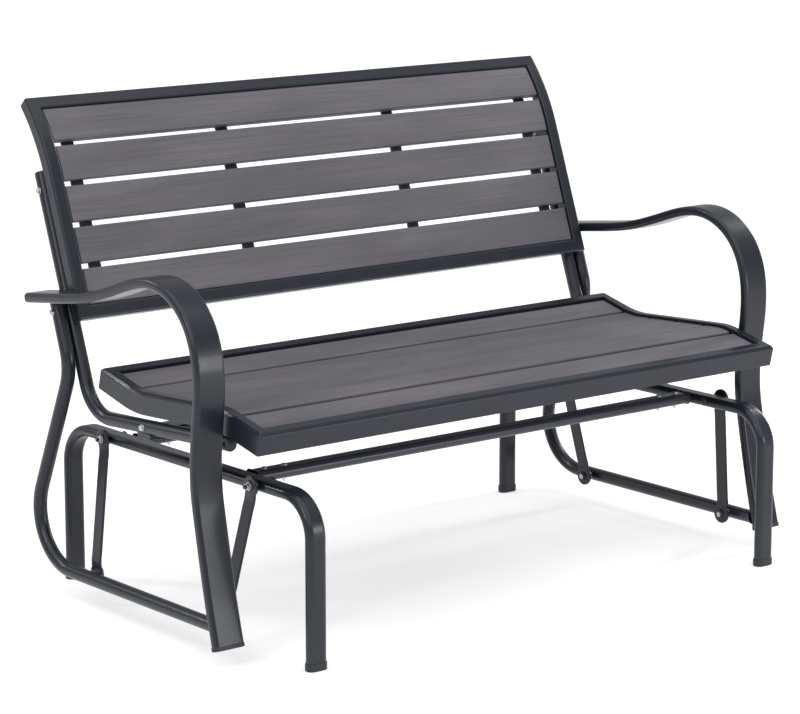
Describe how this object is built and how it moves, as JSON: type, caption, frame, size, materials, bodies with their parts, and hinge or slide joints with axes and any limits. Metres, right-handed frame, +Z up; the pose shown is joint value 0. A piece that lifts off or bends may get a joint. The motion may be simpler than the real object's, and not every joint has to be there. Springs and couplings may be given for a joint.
{
  "type": "glider bench",
  "caption": "Two-seat garden glider bench: slatted seat and back with looping armrests, hung on swinging links from a fixed tubular base.",
  "frame": {"origin": "on the floor, under the centre of the whole bench's outline", "axes": "+Z up; the bench faces -Y, so +Y is towards its back; +X to the right of someone looking at the seat from the front"},
  "size_m": [1.3336, 0.7856, 0.8959],
  "materials": {
    "frame": "satin dark blue-charcoal powder coat",
    "slats": "warm grey moulded wood-look, fine lengthwise grain",
    "plastic": "black moulded caps",
    "zinc": "zinc-plated fasteners"
  },
  "bodies": {
    "base": {"base_cross_rail_front": "frame", "base_cross_rail_rear": "frame", "base_foot_front_left": "plastic", "base_foot_front_right": "plastic", "base_foot_rear_left": "plastic", "base_foot_rear_right": "plastic", "base_frame_left": "frame", "base_frame_right": "frame", "pivot_bolt_top_front_left": "zinc", "pivot_bolt_top_front_right": "zinc", "pivot_bolt_top_rear_left": "zinc", "pivot_bolt_top_rear_right": "zinc"},
    "link_front_left": {"link_front_left": "frame"},
    "link_front_right": {"link_front_right": "frame"},
    "link_rear_left": {"link_rear_left": "frame"},
    "link_rear_right": {"link_rear_right": "frame"},
    "glider": {"arm_left": "frame", "arm_leg_cap_left": "plastic", "arm_leg_cap_right": "plastic", "arm_right": "frame", "back_rail_bottom": "frame", "back_rail_top": "frame", "back_slat_1": "slats", "back_slat_2": "slats", "back_slat_3": "slats", "back_slat_4": "slats", "back_slat_5": "slats", "back_stile_left": "frame", "back_stile_right": "frame", "back_strap_1": "frame", "back_strap_2": "frame", "back_strap_3": "frame", "back_strap_4": "frame", "pivot_bolt_low_front_left": "zinc", "pivot_bolt_low_front_right": "zinc", "pivot_bolt_low_rear_left": "zinc", "pivot_bolt_low_rear_right": "zinc", "rear_leg_left": "frame", "rear_leg_right": "frame", "seat_bearer_front": "frame", "seat_bearer_rear": "frame", "seat_rail_front": "frame", "seat_rail_left": "frame", "seat_rail_rear": "frame", "seat_rail_right": "frame", "seat_slat_1": "slats", "seat_slat_2": "slats", "seat_slat_3": "slats", "seat_slat_4": "slats", "seat_slat_5": "slats", "seat_slat_6": "slats", "seat_strap_1": "frame", "seat_strap_2": "frame", "seat_strap_3": "frame", "seat_strap_4": "frame", "seat_tube_cap_left": "plastic", "seat_tube_cap_right": "plastic", "seat_tube_left": "frame", "seat_tube_right": "frame"}
  },
  "joints": [
    {"name": "glider_pivot", "type": "hinge", "parent": "link_front_left", "child": "glider", "pos_m": [-0.589, -0.2088, 0.055], "axis": [1, 0, 0], "range_deg": [-15.9, 15.9]},
    {"name": "link_front_left_swing", "type": "hinge", "parent": "base", "child": "link_front_left", "pos_m": [-0.553, -0.2368, 0.2925], "axis": [1, 0, 0], "range_deg": [-14, 14]},
    {"name": "link_front_right_swing", "type": "hinge", "parent": "base", "child": "link_front_right", "pos_m": [0.553, -0.2368, 0.2925], "axis": [1, 0, 0], "range_deg": [-14, 14]},
    {"name": "link_rear_left_swing", "type": "hinge", "parent": "base", "child": "link_rear_left", "pos_m": [-0.553, 0.2137, 0.2925], "axis": [1, 0, 0], "range_deg": [-14, 14]},
    {"name": "link_rear_right_swing", "type": "hinge", "parent": "base", "child": "link_rear_right", "pos_m": [0.553, 0.2137, 0.2925], "axis": [1, 0, 0], "range_deg": [-14, 14]}
  ],
  "couplings": [
    {"joint": "link_front_left_swing", "follows": "glider_pivot", "ratio": -0.87873},
    {"joint": "link_front_right_swing", "follows": "glider_pivot", "ratio": -0.87873},
    {"joint": "link_rear_left_swing", "follows": "glider_pivot", "ratio": -0.87873},
    {"joint": "link_rear_right_swing", "follows": "glider_pivot", "ratio": -0.87873}
  ]
}
